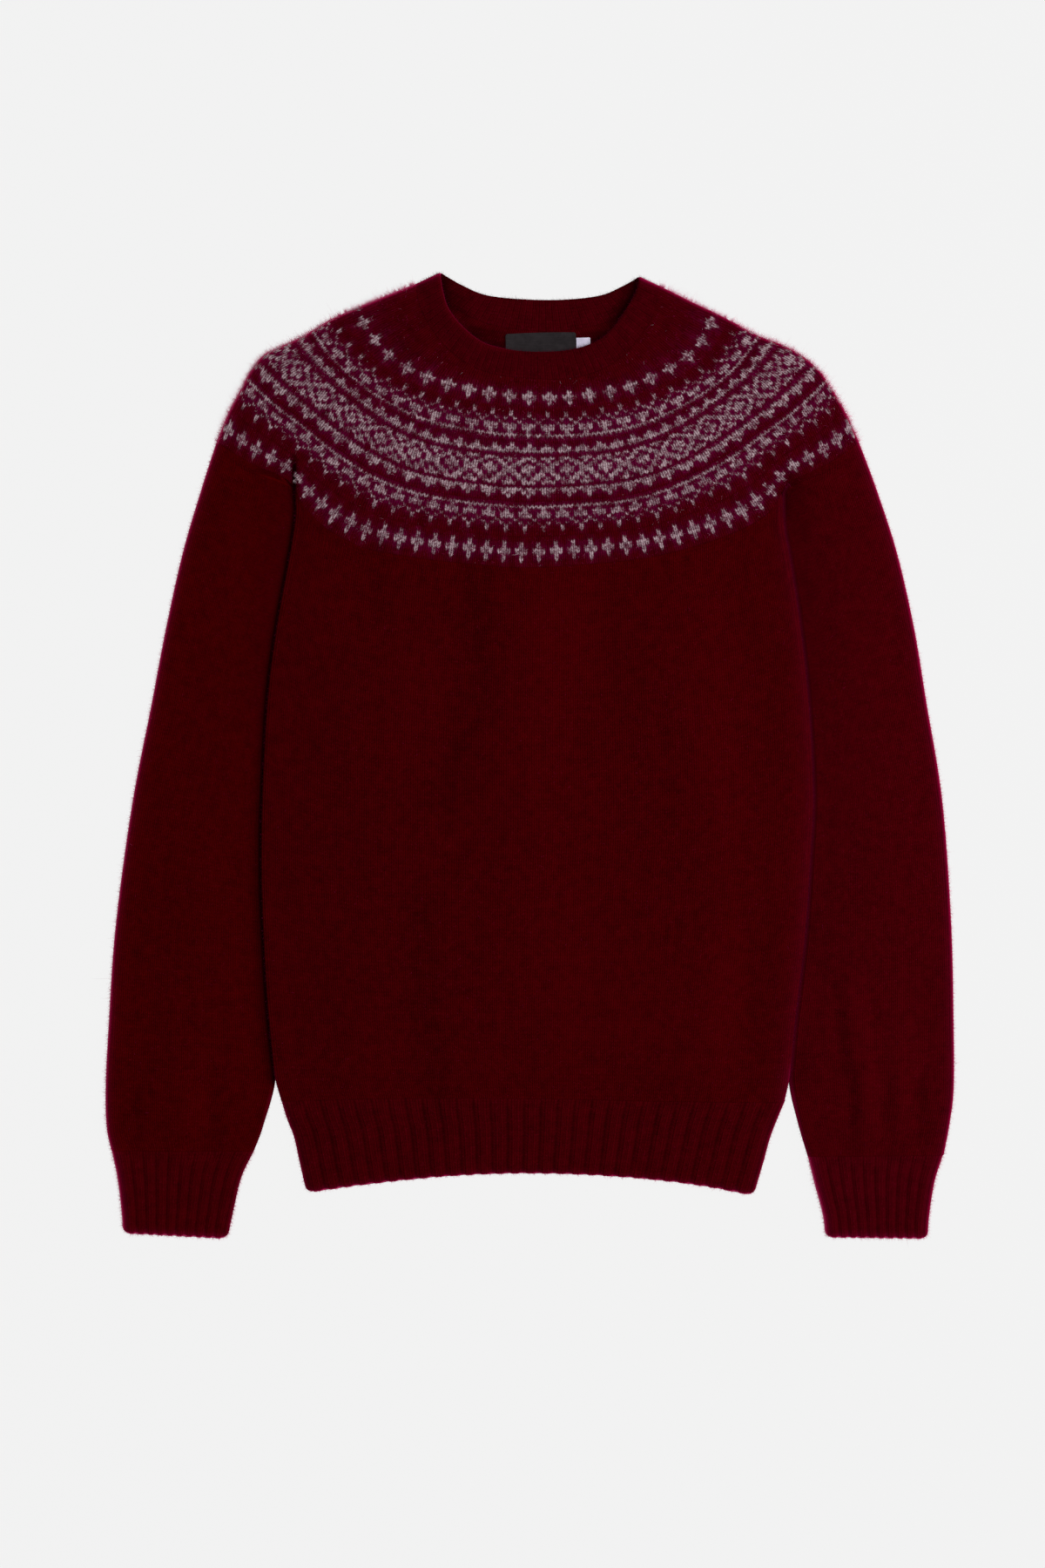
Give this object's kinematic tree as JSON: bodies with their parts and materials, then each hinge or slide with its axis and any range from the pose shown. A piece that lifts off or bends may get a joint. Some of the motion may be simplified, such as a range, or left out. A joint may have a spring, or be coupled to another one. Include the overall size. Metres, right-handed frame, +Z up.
{
  "type": "nordic yoke sweater",
  "caption": "Long-sleeved crew-neck wool sweater laid flat, with a round stranded-pattern yoke and ribbed neck, hem and cuffs.",
  "frame": {"origin": "centre of the bounding box in plan, on the surface that the garment lies on", "axes": "+Z up, out of the front of the garment; +Y along the body towards the neck; +X towards the wearer's left sleeve"},
  "size_m": [0.6143, 0.6979, 0.0084],
  "materials": {
    "burgundy_wool": "brushed wool knit, matte with a soft nap",
    "patterned_wool": "burgundy and grey stranded wool knit, matte with a soft nap",
    "label_ribbon": "woven charcoal ribbon, satin, bare",
    "tag_ribbon": "woven white ribbon, satin, bare"
  },
  "bodies": {
    "root": {"yoke": "patterned_wool", "neckband": "burgundy_wool", "body_front": "burgundy_wool", "body_back": "burgundy_wool", "hem_rib_front": "burgundy_wool", "hem_rib_back": "burgundy_wool", "sleeve_right": "burgundy_wool", "sleeve_left": "burgundy_wool", "cuff_left": "burgundy_wool", "cuff_right": "burgundy_wool", "neck_label": "label_ribbon", "size_tag": "tag_ribbon"}
  },
  "joints": []
}
